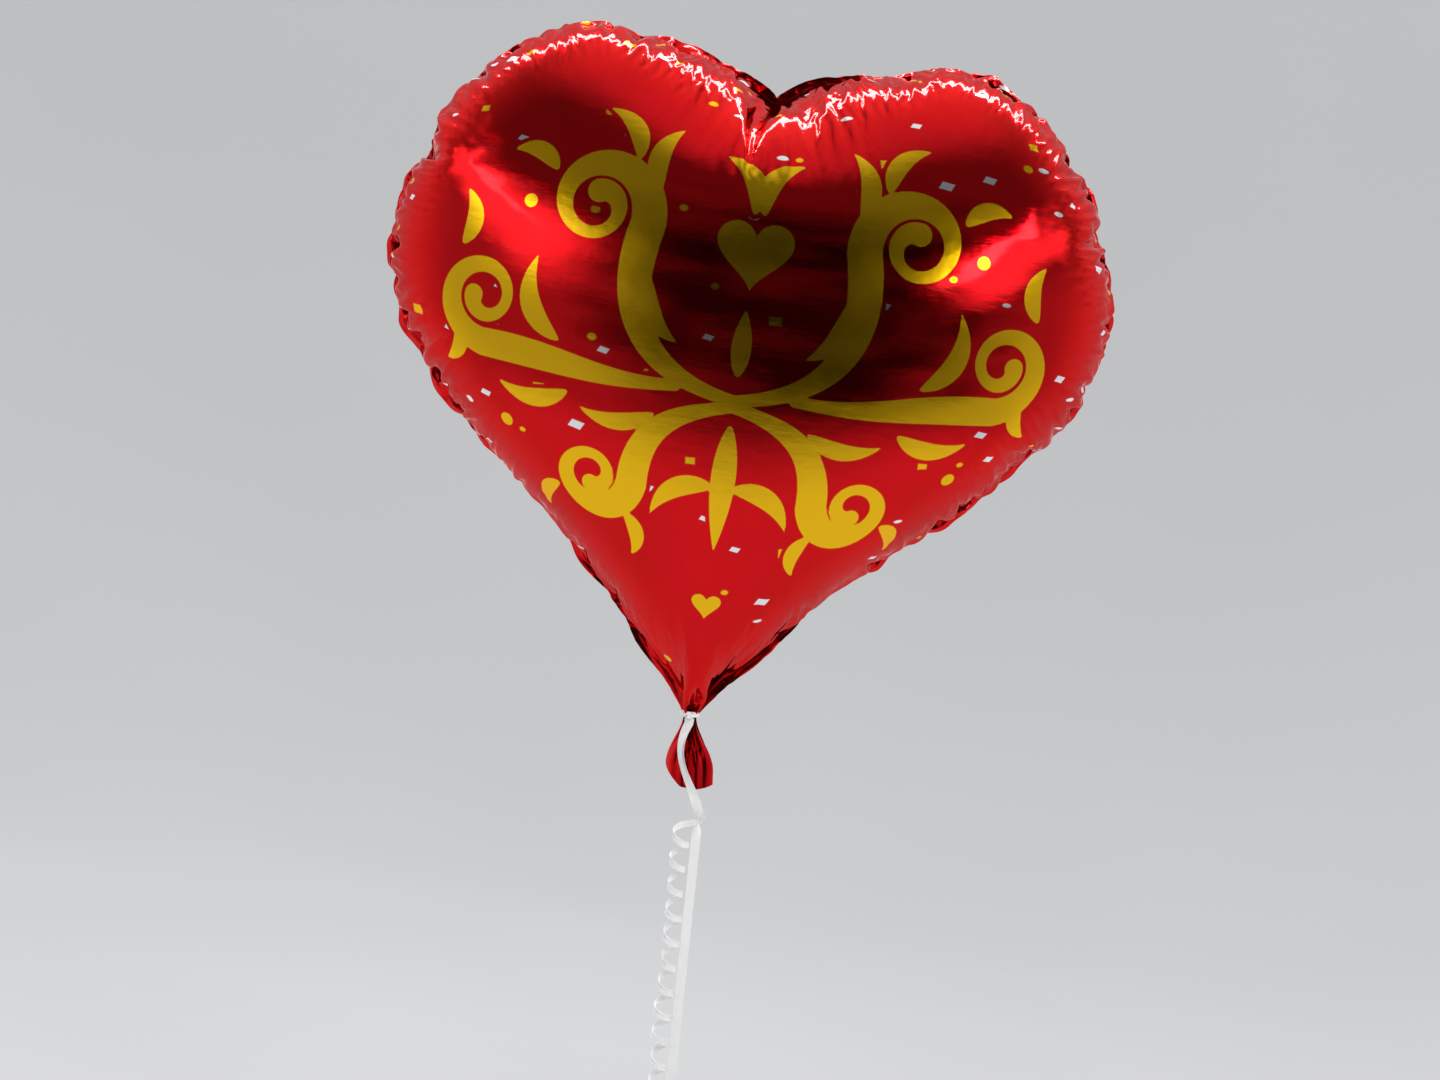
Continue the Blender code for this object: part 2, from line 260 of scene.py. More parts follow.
def colour_groups(pairs, points, seed=3):
    """The pairs in groups that share no point, so that a group is solved at once."""
    left = np.random.default_rng(seed).permutation(len(pairs))
    groups = []
    while len(left):
        used = np.zeros(points, bool)
        group = []
        waiting = left
        for _ in range(4):
            free = ~(used[pairs[waiting, 0]] | used[pairs[waiting, 1]])
            waiting = waiting[free]
            if not len(waiting):
                break
            ends = pairs[waiting]
            rank = np.arange(len(waiting))
            best = np.full(points, len(waiting))
            np.minimum.at(best, ends[:, 0], rank)
            np.minimum.at(best, ends[:, 1], rank)
            wins = (best[ends[:, 0]] == rank) & (best[ends[:, 1]] == rank)
            group.append(waiting[wins])
            used[ends[wins].ravel()] = True
            waiting = waiting[~wins]
        groups.append(np.concatenate(group))
        left = left[~np.isin(left, groups[-1])]
    return groups


def rested(pairs, flat):
    """Groups of pairs with the lengths they have in the flat film."""
    length = np.linalg.norm(flat[pairs[:, 0]] - flat[pairs[:, 1]], axis=1)
    return [(pairs[g, 0], pairs[g, 1], length[g]) for g in colour_groups(pairs, len(flat))]


def swell(place, triangles):
    """The push of a unit pressure on each point."""
    a = place[triangles[:, 0]]
    normal = 0.5 * np.cross(place[triangles[:, 1]] - a, place[triangles[:, 2]] - a)
    push = np.zeros_like(place)
    for corner in range(3):
        for axis in range(3):
            push[:, axis] += np.bincount(triangles[:, corner], normal[:, axis], len(place))
    return push / 3


def relax(place, flat, triangles, blown, held, steps, pressure, crush, stiff, steer=None):
    """Film under pressure: it hardly stretches, and it gives way to compression by wrinkling.

    crush is how firmly a pair resists being pushed together, and stiff is how firmly the film resists a fold.
    """
    edges, _, across = mesh_edges(triangles)
    springs = rested(edges, flat)
    struts = rested(across, flat)
    spacing = np.linalg.norm(flat[edges[:, 0]] - flat[edges[:, 1]], axis=1).mean()
    weight = np.where(held, 0.0, 1.0)
    speed = np.zeros_like(place)
    for step in range(steps):
        speed = DAMPING * speed
        if len(blown):
            speed += swell(place, blown) * (pressure / spacing**2)
        speed[held] = 0
        moved = place + speed
        if steer is not None:
            steer(moved, step / steps)
        for groups, stretch, squeeze in ((springs, 1.0, crush), (struts, 0.0, stiff)):
            for i, j, length in groups:
                gap = moved[j] - moved[i]
                now = np.sqrt((gap * gap).sum(1)) + 1e-12
                share = (now - length) / now
                share *= np.where(now > length, stretch, squeeze)
                both = np.maximum(weight[i] + weight[j], 1)
                gap *= (share / both)[:, None]
                moved[i] += gap * weight[i][:, None]
                moved[j] -= gap * weight[j][:, None]
        speed = moved - place
        place = moved
    return place


def refine(place, flat, triangles, side, held):
    """Each triangle cut in four."""
    edges, index, _ = mesh_edges(triangles)
    count, faces = len(place), len(triangles)
    middle = count + index
    a, b, c = triangles.T
    ab, bc, ca = middle[:faces], middle[faces : 2 * faces], middle[2 * faces :]
    finer = [np.stack(t, 1) for t in ((a, ab, ca), (ab, b, bc), (ca, bc, c), (ab, bc, ca))]
    place = np.concatenate([place, place[edges].mean(1)])
    flat = np.concatenate([flat, flat[edges].mean(1)])
    held = np.r_[held, held[edges].all(1)]
    return place, flat, np.concatenate(finer), np.tile(side, 4), held


def seam_tree(flat, triangles, side):
    """The points on the flange, those on the seam, and a search tree of the seam in the flat film."""
    flange = np.unique(triangles[side == BOTH])
    seam = np.intersect1d(flange, np.unique(triangles[side == FRONT]))
    tree = KDTree(len(seam))
    for k, (x, z) in enumerate(flat[seam]):
        tree.insert((x, 0, z), k)
    tree.balance()
    return flange, seam, tree


def seam_gap(flat, triangles, side):
    """Distance in the flat film from each point to the seam, negative on the flange."""
    flange, _, tree = seam_tree(flat, triangles, side)
    gap = np.array([tree.find((x, 0, z))[2] for x, z in flat])
    gap[flange] *= -1
    return gap


def ease_rim(place, flat, triangles, side, rounds, reach, push):
    """Evens out the rim. Points near the seam move only along with those level with them."""
    gap = seam_gap(flat, triangles, side)
    x, z = np.abs(flat[:, 0]), flat[:, 1]
    # the gathered neck and the cleft keep their own folds
    tip = np.clip((z - 18 * MM) / (36 * MM), 0, 1)
    cleft = np.clip(np.hypot(x, z - CLEFT * PATTERN_SCALE * MM) / (32 * MM) - 0.3, 0, 1)
    weight = (np.clip(1.25 - np.abs(gap) / reach, 0, 1) * tip * cleft)[:, None]
    edges, _, _ = mesh_edges(triangles)
    one, two = edges.T
    spacing = np.linalg.norm(flat[one] - flat[two], axis=1).mean()
    level = np.abs(gap[one] - gap[two]) < 0.3 * spacing
    near = np.minimum(gap[one], gap[two]) < 0.5 * spacing
    one, two = edges[level | ~near].T
    count = np.bincount(one, minlength=len(place)) + np.bincount(two, minlength=len(place))
    for turn in range(rounds):
        # every second round pushes back out, which keeps the broad shape
        share = -push if turn % 2 else 0.5
        total = np.zeros_like(place)
        for axis in range(3):
            total[:, axis] += np.bincount(one, place[two, axis], len(place))
            total[:, axis] += np.bincount(two, place[one, axis], len(place))
        mean = total / np.maximum(count, 1)[:, None]
        place = np.where(count[:, None] > 1, place + (mean - place) * weight * share, place)
    return place


def inflate():
    """The envelope blown up from its flat pattern, with its neck gathered into the tie."""
    flat, triangles, side, facing = envelope_mesh(COARSE)
    x, z = flat.T
    held = z < 1e-6
    wave = 0.0019 * np.sin(3.5 * 2 * math.pi / (2 * NECK_HALF * MM) * x)
    start = np.stack([x, facing * 0.002, z], 1)
    target = np.stack([x * NECK_GATHER, wave + facing * 0.0003, z], 1)

    def gather(moved, progress):
        share = min(1.0, progress / GATHER_TIME)
        moved[held] = start[held] * (1 - share) + target[held] * share

    blown = triangles[side != BOTH]
    steps = COARSE_STEPS
    place = relax(start, flat, triangles, blown, held, steps, PRESSURE, COARSE_CRUSH, COARSE_STIFF, gather)
    # broad scallops are evened out, so that the finer film takes up the slack in narrow flutes
    place = ease_rim(place, flat, triangles, side, 200, 46 * MM, 0.45)
    for level, (steps, crush) in enumerate(zip(FINE_STEPS, FINE_CRUSH), 1):
        place, flat, triangles, side, held = refine(place, flat, triangles, side, held)
        noise = np.random.default_rng(level).normal(0, 0.06 * MM / level, place.shape)
        place = place + noise * ~held[:, None]
        blown = triangles[side != BOTH]
        place = relax(place, flat, triangles, blown, held, steps, PRESSURE / 4**level, crush, FINE_STIFF)
    place = ease_rim(place, flat, triangles, side, 28, 30 * MM, 0.51)
    return place, flat, triangles, side


# ---------------- printed ornament


def heart_points(centre, half_width, steps=40):
    t = np.linspace(0, 2 * math.pi, steps, endpoint=False)
    x = 16 * np.sin(t) ** 3
    z = 13 * np.cos(t) - 5 * np.cos(2 * t) - 2 * np.cos(3 * t) - np.cos(4 * t)
    return np.stack([x, z + 2.5], 1) * half_width / 16 + centre


def scroll(base, heading, reach, centre, radius, start, turns, widths, hand):
    """A stem that sweeps into a volute: rows of x, z and half the stroke's width, in millimetres."""
    start = math.radians(start)
    join = np.array(centre) + radius * np.array([math.cos(start), math.sin(start)])
    run = hand * np.array([-math.sin(start), math.cos(start)])
    heading = np.array(heading) / np.linalg.norm(heading)
    stem = bezier((base, np.array(base) + heading * reach, join - run * reach, join), 30)
    t = np.linspace(0, 1, 60)[1:]
    angle = start + hand * t * turns * 2 * math.pi
    shrink = radius * (1 - 0.74 * t**0.85)
    curl = np.array(centre) + shrink[:, None] * np.stack([np.cos(angle), np.sin(angle)], 1)
    line = np.concatenate([stem, curl])
    run = run_along(line)
    run /= run[-1]
    thin, thick, end = widths
    half = thin + (thick - thin) * np.sin(math.pi * np.clip(run / 0.86, 0, 1)) ** 1.6
    half += (end - thin) * np.clip((run - 0.88) / 0.12, 0, 1) ** 1.5
    return np.column_stack([line, half])


def leaf(base, tip, bulge, half_width):
    """A curved leaf with a point at each end."""
    base, tip = np.array(base, float), np.array(tip, float)
    side = np.array([base[1] - tip[1], tip[0] - base[0]]) * bulge
    line = bezier((base, base * 0.67 + tip * 0.33 + side, base * 0.33 + tip * 0.67 + side, tip), 24)
    t = np.linspace(0, 1, len(line))
    half = half_width * np.sin(math.pi * t**0.8) ** 0.9 + 0.15
    return np.column_stack([line, half])


def dot(centre, radius):
    return np.array([[*centre, radius], [centre[0] + 0.01, centre[1], radius]])


ORNAMENT_MIDDLE = 190
ORNAMENT_HEIGHT = 186
ORNAMENT_SCALE = 0.86
STROKE_SCALE = 0.94
PRINT_REACH = 12  # millimetres from a stroke's edge that its distance is measured


def ornament():
    """Half of the ornament as strokes, and its filled hearts. The other half mirrors it."""
    strokes = [
        scroll((1, 190), (1, 0.16), 54, (92, 288), 31, 192, 1.3, (3.2, 9.4, 6.4), -1),
        scroll((34, 194), (1, -0.1), 50, (152, 226), 27, -90, 1.25, (3.0, 8.0, 5.4), 1),
        scroll((1, 186), (1, -0.2), 34, (78, 132), 25, 180, 1.25, (3.0, 8.4, 5.4), 1),
        leaf((56, 252), (36, 218), 0.24, 5.2),
        leaf((58, 302), (52, 342), -0.25, 5.4),
        leaf((74, 318), (98, 346), 0.28, 5.0),
        leaf((120, 304), (148, 312), 0.28, 4.8),
        leaf((104, 208), (122, 254), -0.3, 5.6),
        leaf((170, 254), (172, 286), 0.28, 4.8),
        leaf((168, 208), (180, 182), -0.28, 4.6),
        leaf((96, 180), (140, 178), -0.22, 5.0),
        leaf((44, 176), (88, 172), -0.2, 4.6),
        leaf((100, 118), (112, 92), 0.28, 4.4),
        leaf((56, 112), (50, 84), -0.28, 4.4),
        leaf((0, 204), (0, 242), 0.0, 5.0),
        leaf((0, 176), (0, 100), 0.0, 6.4),
        leaf((5, 138), (40, 116), 0.28, 5.4),
        leaf((3, 296), (24, 330), 0.3, 5.4),
        dot((132, 284), 3.6),
        dot((136, 152), 4.0),
    ]
    hearts = [
        heart_points((0, 272), 22),
        heart_points((0, 62), 9),
    ]
    for rows in strokes + hearts:
        rows[:, 0] *= ORNAMENT_SCALE
        rows[:, 1] = ORNAMENT_HEIGHT + (rows[:, 1] - ORNAMENT_MIDDLE) * ORNAMENT_SCALE
        rows[:, 2:] *= STROKE_SCALE
    return strokes, hearts


def stroke_distance(points, stroke):
    """Distance in millimetres from each point to a stroke's edge, negative inside it."""
    found = np.full(len(points), float(PRINT_REACH))
    low = stroke[:, :2].min(0) - stroke[:, 2].max() - PRINT_REACH
    high = stroke[:, :2].max(0) + stroke[:, 2].max() + PRINT_REACH
    near = np.nonzero(((points > low) & (points < high)).all(1))[0]
    here = points[near]
    best = found[near]
    for (ax, az, ar), (bx, bz, br) in zip(stroke[:-1], stroke[1:]):
        run = np.array([bx - ax, bz - az])
        close = np.nonzero(np.abs(here - [(ax + bx) / 2, (az + bz) / 2]).max(1) < 2 * PRINT_REACH)[0]
        away = here[close] - [ax, az]
        t = np.clip(away @ run / (run @ run + 1e-12), 0, 1)
        gap = np.linalg.norm(away - t[:, None] * run, axis=1) - ar - (br - ar) * t
        best[close] = np.minimum(best[close], gap)
    found[near] = best
    return found


def print_distance(flat):
    """The ornament as a signed distance in millimetres at each point of the flat film."""
    points = np.stack([np.abs(flat[:, 0]), flat[:, 1]], 1) / MM
    strokes, hearts = ornament()
    found = np.full(len(points), float(PRINT_REACH))
    for stroke in strokes:
        found = np.minimum(found, stroke_distance(points, stroke))
    for polygon in hearts:
        centre = polygon.mean(0)
        near = np.nonzero(np.abs(points - centre).max(1) < np.ptp(polygon[:, 0]) / 2 + 14)[0]
        gap = distance_to(points[near], polygon) * np.where(inside(points[near], polygon), -1, 1)
        found[near] = np.minimum(found[near], gap)
    return found


# ---------------- meshes


def new_mesh(name, place, faces, material, uv=None):
    """An object from arrays of points and of faces that all have the same number of corners."""
    place, faces = np.asarray(place, np.float32), np.asarray(faces, np.int32)
    corners = faces.shape[1]
    mesh = bpy.data.meshes.new(name)
    mesh.vertices.add(len(place))
    mesh.vertices.foreach_set("co", place.ravel())
    mesh.loops.add(faces.size)
    mesh.loops.foreach_set("vertex_index", faces.ravel())
    mesh.polygons.add(len(faces))
    mesh.polygons.foreach_set("loop_start", np.arange(len(faces), dtype=np.int32) * corners)
    mesh.update(calc_edges=True)
    if uv is not None:
        layer = mesh.uv_layers.new(name="OFBake")
        layer.data.foreach_set("uv", np.asarray(uv, np.float32)[faces.ravel()].ravel())
    mesh.shade_smooth()
    mesh.materials.append(material)
    obj = bpy.data.objects.new(name, mesh)
    bpy.context.scene.collection.objects.link(obj)
    return obj


def set_values(obj, name, values):
    attribute = obj.data.attributes.new(name, "FLOAT", "POINT")
    attribute.data.foreach_set("value", np.asarray(values, np.float32))


def dress(slot, node=None):
    if node:
        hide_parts(node)


def vertex_normals(place, triangles):
    return unit(swell(place, triangles))


def grid_faces(rows, columns):
    k = np.arange((rows - 1) * columns).reshape(rows - 1, columns)[:, :-1].ravel()
    return np.stack([k, k + 1, k + columns + 1, k + columns], 1)


def sheet(name, grid, thickness, material, uv_span=(1, 1), offset=0.0):
    """A thin closed sheet round a grid of points, shifted along its normals by offset."""
    rows, columns = grid.shape[:2]
    normal = unit(np.cross(np.gradient(grid, axis=0), np.gradient(grid, axis=1)))
    top = (grid + normal * (offset + thickness / 2)).reshape(-1, 3)
    low = (grid + normal * (offset - thickness / 2)).reshape(-1, 3)
    count = rows * columns
    face = grid_faces(rows, columns)
    index = np.arange(count).reshape(rows, columns)
    ring = np.concatenate([index[0, :-1], index[:-1, -1], index[-1, :0:-1], index[:0:-1, 0]])
    after = np.roll(ring, -1)
    wall = np.stack([ring, ring + count, after + count, after], 1)
    faces = np.concatenate([face[:, ::-1], face + count, wall[:, ::-1]])
    u, v = np.meshgrid(np.linspace(0, 1, columns), np.linspace(0, 1, rows))
    uv = np.stack([u, v], 2).reshape(-1, 2) * uv_span
    obj = new_mesh(name, np.concatenate([top, low]), faces, material, np.concatenate([uv, uv]))
    obj.data.set_sharp_from_angle(angle=math.radians(50))
    return obj


# ---------------- materials


class Nodes:
    """The node tree of a material or a world, with shorthand for the nodes used here."""

    def __init__(self, owner):
        owner.use_nodes = True
        self.owner = owner
        self.tree = owner.node_tree

    def put(self, value, socket):
        if isinstance(value, bpy.types.NodeSocket):
            self.tree.links.new(value, socket)
        elif value is not None:
            socket.default_value = value

    def node(self, kind, **settings):
        node = self.tree.nodes.new(kind)
        for key, value in settings.items():
            setattr(node, key, value)
        return node

    def math(self, operation, a, b=None):
        node = self.node("ShaderNodeMath", operation=operation)
        self.put(a, node.inputs[0])
        self.put(b, node.inputs[1])
        return node.outputs[0]

    def ramp(self, value, low, high, to_low=0.0, to_high=1.0, shape="LINEAR"):
        node = self.node("ShaderNodeMapRange", interpolation_type=shape)
        self.put(value, node.inputs["Value"])
        for key, given in zip(("From Min", "From Max", "To Min", "To Max"), (low, high, to_low, to_high)):
            node.inputs[key].default_value = given
        return node.outputs[0]

    def mix(self, share, a, b):
        node = self.node("ShaderNodeMix", data_type="RGBA")
        self.put(share, node.inputs[0])
        self.put(a, node.inputs[6])
        self.put(b, node.inputs[7])
        return node.outputs[2]

    def mapped(self, vector, scale, turn=0.0, shift=(0, 0, 0)):
        node = self.node("ShaderNodeMapping")
        self.put(vector, node.inputs[0])
        node.inputs["Location"].default_value = shift
        node.inputs["Rotation"].default_value = (0, 0, turn)
        node.inputs["Scale"].default_value = scale
        return node.outputs[0]

    def flat_place(self, scale=(1, 1, 1), turn=0.0, shift=(0, 0, 0)):
        return self.mapped(self.node("ShaderNodeUVMap", uv_map="OFBake").outputs[0], scale, turn, shift)

    def object_place(self):
        return self.node("ShaderNodeTexCoord").outputs["Object"]

    def split(self, vector):
        node = self.node("ShaderNodeSeparateXYZ")
        self.put(vector, node.inputs[0])
        return node.outputs

    def noise(self, place, scale, detail=2.0, rough=0.5):
        node = self.node("ShaderNodeTexNoise")
        self.put(place, node.inputs["Vector"])
        node.inputs["Scale"].default_value = scale
        node.inputs["Detail"].default_value = detail
        node.inputs["Roughness"].default_value = rough
        return node.outputs[0]

    def cells(self, place, metric):
        node = self.node("ShaderNodeTexVoronoi", voronoi_dimensions="2D", distance=metric)
        self.put(place, node.inputs["Vector"])
        node.inputs["Scale"].default_value = 1.0
        split = self.node("ShaderNodeSeparateColor")
        self.put(node.outputs["Color"], split.inputs[0])
        return node.outputs["Distance"], split.outputs

    def bump(self, height, strength, distance, normal=None):
        node = self.node("ShaderNodeBump")
        node.inputs["Strength"].default_value = strength
        node.inputs["Distance"].default_value = distance
        self.put(height, node.inputs["Height"])
        self.put(normal, node.inputs["Normal"])
        return node.outputs[0]

    def finish(self, **inputs):
        names = {"base": "Base Color", "rough": "Roughness", "metal": "Metallic", "edge": "Specular Tint"}
        names |= {"normal": "Normal", "coat": "Coat Weight", "coat_rough": "Coat Roughness", "ior": "IOR"}
        names |= {"through": "Transmission Weight", "sheen": "Sheen Weight"}
        names |= {"glow": "Emission Color", "glow_power": "Emission Strength"}
        for key, value in inputs.items():
            self.put(value, self.tree.nodes["Principled BSDF"].inputs[names[key]])
        return self.owner


RED = (0.72, 0.001, 0.005, 1)
DARK_RED = (0.62, 0.0006, 0.003, 1)
GOLD = (0.90, 0.52, 0.004, 1)
SILVER = (0.86, 0.86, 0.88, 1)


def confetti(film, size, turn, shift, metric, keep, radius, stretch):
    """A scatter of small printed shapes over the flat film, one in some of the cells of a grid."""
    scale = UV_SPAN / (size * MM)
    place = film.flat_place((scale, scale * stretch, scale), turn, shift)
    distance, random = film.cells(place, metric)
    own = film.ramp(random[1], 0, 1, radius * 0.55, radius)
    edge = film.ramp(film.math("SUBTRACT", distance, own), -0.012, 0.012, 1.0, 0.0)
    return film.math("MULTIPLY", edge, film.math("LESS_THAN", random[0], keep))


def foil_material(name, printed):
    film = Nodes(bpy.data.materials.new(name))
    place = film.flat_place((UV_SPAN / MM,) * 3)
    cloud = film.noise(place, 0.012, 3)
    base = film.mix(film.ramp(cloud, 0.35, 0.7), RED, DARK_RED)
    rough = film.ramp(film.noise(place, 0.05, 4), 0.3, 0.7, 0.075, 0.125)
    if printed:
        drawn = film.node("ShaderNodeAttribute", attribute_name="print").outputs["Fac"]
        ink = film.ramp(drawn, -0.14, 0.14, 1.0, 0.0)
        clear = film.ramp(drawn, 2.0, 2.4, 0.0, 1.0)
        scatters = (
            (34, 0.4, (3.1, 7.7, 0), "EUCLIDEAN", 0.17, 0.085, 1.3, GOLD),
            (30, 1.1, (9.4, 1.3, 0), "MANHATTAN", 0.16, 0.17, 1.8, SILVER),
            (41, 0.7, (5.9, 4.2, 0), "MANHATTAN", 0.19, 0.13, 1.4, GOLD),
            (37, 2.0, (1.7, 8.8, 0), "EUCLIDEAN", 0.15, 0.10, 2.2, SILVER),
        )
        for *shape, colour in scatters:
            base = film.mix(film.math("MULTIPLY", confetti(film, *shape), clear), base, colour)
        base = film.mix(ink, base, GOLD)
        rough = film.math("ADD", rough, film.math("MULTIPLY", ink, 0.10))
    streaks = film.noise(film.flat_place((UV_SPAN / MM * 0.25, UV_SPAN / MM, 1)), 0.10, 5, 0.55)
    crinkle = film.noise(place, 0.35, 4, 0.6)
    normal = film.bump(streaks, 0.25, 0.6 * MM)
    normal = film.bump(crinkle, 0.12, 0.12 * MM, normal)
    return film.finish(base=base, metal=1.0, rough=rough, edge=base, normal=normal, coat=0.2, coat_rough=0.06)


def frosted_material(name):
    film = Nodes(bpy.data.materials.new(name))
    place = film.object_place()
    grain = film.noise(place, 2200, 3)
    cloud = film.noise(place, 120, 3)
    base = film.mix(film.ramp(cloud, 0.3, 0.7), (0.90, 0.91, 0.91, 1), (0.80, 0.82, 0.83, 1))
    rough = film.ramp(grain, 0.3, 0.7, 0.38, 0.55)
    normal = film.bump(grain, 0.3, 0.05 * MM)
    return film.finish(base=base, metal=0.0, rough=rough, normal=normal, through=0.45, ior=1.5)


def ribbon_material(name):
    """Pearl white polypropylene with fine ribbing along its length, with painted shade darkening each rib's
    groove.
    """
    ribbon = Nodes(bpy.data.materials.new(name))
    across = ribbon.split(ribbon.flat_place())[0]
    rib_relief_and_shade = ribbon.math("SINE", ribbon.math("MULTIPLY", across, 2 * math.pi * 14))
    flow = ribbon.noise(ribbon.flat_place((6, 0.5, 1)), 9, 3)
    # each rib's groove is painted darker than its crest: painted shade that follows the bump height
    base = ribbon.mix(ribbon.ramp(rib_relief_and_shade, -1, 1), (0.80, 0.80, 0.79, 1), (0.93, 0.93, 0.92, 1))
    base = ribbon.mix(ribbon.ramp(flow, 0.35, 0.75, 0.0, 0.35), base, (0.97, 0.96, 0.94, 1))
    rough = ribbon.ramp(flow, 0.3, 0.7, 0.22, 0.36)
    normal = ribbon.bump(rib_relief_and_shade, 0.35, 0.06 * MM)
    return ribbon.finish(base=base, rough=rough, normal=normal, coat=0.4, coat_rough=0.15, sheen=0.15)


# ---------------- envelope


def fit_to_cad(place):
    """The small scaling that brings the inflated film to the CAD panels' width, height and depth."""
    low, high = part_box("front_panel")
    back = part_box("back_panel")[1].y
    wide = (high.x - low.x) / np.ptp(place[:, 0])
    tall = high.z / place[:, 2].max()
    deep = 1.02 * (back - low.y) / np.ptp(place[:, 1])
    return np.array([wide, deep, tall])


def fold_flange(place, flat, triangles, side):
    """The flange outside the seam lies back from the front, but faces it at the cleft and beside the neck."""
    flange, seam, tree = seam_tree(flat, triangles, side)
    loose = np.setdiff1d(flange, seam)
    near = seam[[[k for _, k, _ in tree.find_n((x, 0, z), 9)] for x, z in flat[loose]]]
    reach = np.linalg.norm(flat[loose] - flat[near[:, 0]], axis=1)
    # further out, the strip follows the seam's even course and not each flute
    share = np.clip(reach / FLANGE, 0, 1)[:, None]
    base = place[near[:, 0]] * (1 - share) + place[near].mean(1) * share
    away = flat[loose] - flat[near].mean(1)
    x, z = np.abs(flat[loose, 0]) / MM, flat[loose, 1] / MM
    back = np.clip((x - 30) / 26, 0, 1) * np.clip((z - 34) / 30, 0, 1)
    angle = (1.1 + 0.25 * np.sin(x * 0.11 + z * 0.07)) * back
    level = unit(np.stack([away[:, 0], np.zeros(len(away)), away[:, 1]], 1))
    folded = level * np.cos(angle)[:, None] + np.array([0, 1, 0]) * np.sin(angle)[:, None]
    folded = base + folded * reach[:, None]
    place = place.copy()
    place[loose] += (folded - place[loose]) * back[:, None]
    return place


def build_panels(front_material, back_material):
    place, flat, triangles, side = inflate()
    place = fold_flange(place * fit_to_cad(place), flat, triangles, side)
    flange = triangles[side == BOTH]
    for name, own, material, node in (
        ("foil_front", FRONT, front_material, "front_panel"),
        ("foil_back", BACK, back_material, "back_panel"),
    ):
        shared = flange if own == FRONT else flange[:, ::-1]
        used, index = np.unique(np.concatenate([triangles[side == own], shared]), return_inverse=True)
        faces = index.reshape(-1, 3)
        points = place[used]
        uv = np.stack([flat[used, 0] / UV_SPAN + 0.5, (flat[used, 1] + UV_MARGIN) / UV_SPAN], 1)
        on_flange = np.isin(used, flange)
        points[on_flange] += vertex_normals(points, faces)[on_flange] * PANEL_GAP
        obj = new_mesh(name, points, faces, material, uv)
        if own == FRONT:
            set_values(obj, "print", print_distance(flat[used]))
        dress("foil", node)
        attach(obj, "envelope")


# ---------------- neck tab


def tab_grid(rows=90, columns=120):
    """The film below the tie: a pleated fan whose wings fall back, the left one further than the right."""
    u = np.linspace(-1, 1, columns)[None, :]
    v = np.linspace(0, 1, rows)[:, None]
    drop = v * (38.0 + 3.0 * (1 - u * u) + 1.0 * u - 9.0 * np.clip(-0.25 - u, 0, 1) ** 1.2) * MM
    ease = smooth((drop - 2 * MM) / (30 * MM))
    turn = 7 * math.pi * u + 0.5 * np.sin(4 * u)
    tight = np.arcsin(0.985 * np.sin(turn)) * 2 / math.pi
    merged = np.arcsin(0.97 * np.sin(0.5 * turn + 0.7 + 0.6 * np.sin(2.3 * u + 1.2))) * 2 / math.pi
    crease = np.arcsin(0.95 * np.sin(turn * 0.83 + 2.1 + 1.5 * v)) * 2 / math.pi
    depth = 1.75 * MM * (1 - ease) ** 1.2
    y = depth * tight + (1.35 * MM * merged + 0.3 * MM * crease) * ease * (1.2 - 0.85 * v)
    wing = np.where(u < 0, 11.5 * MM * np.abs(u) ** 2.6, 6.0 * MM * np.abs(u) ** 3.0)
    y = y + wing * ease + 0.9 * MM * ease
    y = np.where(y < -2.2 * MM, -2.2 * MM + 0.1 * (y + 2.2 * MM), y)
    spread = 3.1 * MM + 10.6 * MM * ease**0.85
    tuck = np.where(u < 0, 2.6 * MM * np.abs(u) ** 4, 0.8 * MM * u**4)
    x = spread * u * (1 + 0.03 * np.sin(6 * u + 1) * ease) - np.sign(u) * tuck * ease
    z = 0.6 * MM - drop * 0.95 + 1.2 * MM * np.abs(u) ** 3 * ease
    x, y, z = np.broadcast_arrays(x, y, z)
    lean = np.clip(-z / (38 * MM), 0, 1) ** 1.2 * 3.6 * MM
    return np.stack([x + lean, y, z], 2)


def build_tab(neck_material, valve_material):
    grid = tab_grid()
    rows, columns = grid.shape[:2]
    middle = grid[: rows - 6, int(columns * 0.2) : int(columns * 0.8)]
    span = np.array([38, 41]) * MM / UV_SPAN
    for name, points, film, offset, material, node, slot in (
        ("neck_film_front", grid, TAB_FILM, 0.26, neck_material, "neck_tab_front", "neck_foil"),
        ("neck_film_back", grid, TAB_FILM, -0.26, neck_material, "neck_tab_back", "neck_foil"),
        ("valve_sleeve_front", middle, SLEEVE_FILM, 0.11, valve_material, "valve_front_tail", "valve_film"),
        ("valve_sleeve_back", middle, SLEEVE_FILM, -0.11, valve_material, "valve_back_tail", "valve_film"),
    ):
        obj = sheet(name, points, film, material, span, offset * MM)
        dress(slot, node)
        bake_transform(obj)


# ---------------- valve


def build_valve(material):
    """Two leaves of frosted film with sealed side ridges, waiting inside for a straw."""
    for name, sign, node, body in (
        ("valve_film_front", -1, "valve_front_leaf", "valve_front"),
        ("valve_film_back", 1, "valve_back_leaf", "valve_back"),
    ):
        low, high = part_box(node)
        u = np.linspace(-1, 1, 41)[None, :]
        v = np.linspace(0, 1, 81)[:, None]
        half = high.x * (0.385 + 0.615 * smooth(v * (high.z - low.z) / (17 * MM)))
        z = high.z + (low.z - high.z) * (1 - v)
        ripple = 0.10 * MM * np.sin(9 * v + 2 * u) + 0.06 * MM * np.sin(31 * v + 5 * u * sign)
        ridge = 0.10 * MM * np.exp(-(((np.abs(u) - 0.86) / 0.05) ** 2))
        y = (low.y + high.y) / 2 + sign * (np.abs(ripple) + ridge)
        grid = np.stack(np.broadcast_arrays(u * half, y, z), 2)
        obj = sheet(name, grid, VALVE_FILM, material)
        dress("valve_film", node)
        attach(obj, body)


# ---------------- ribbon


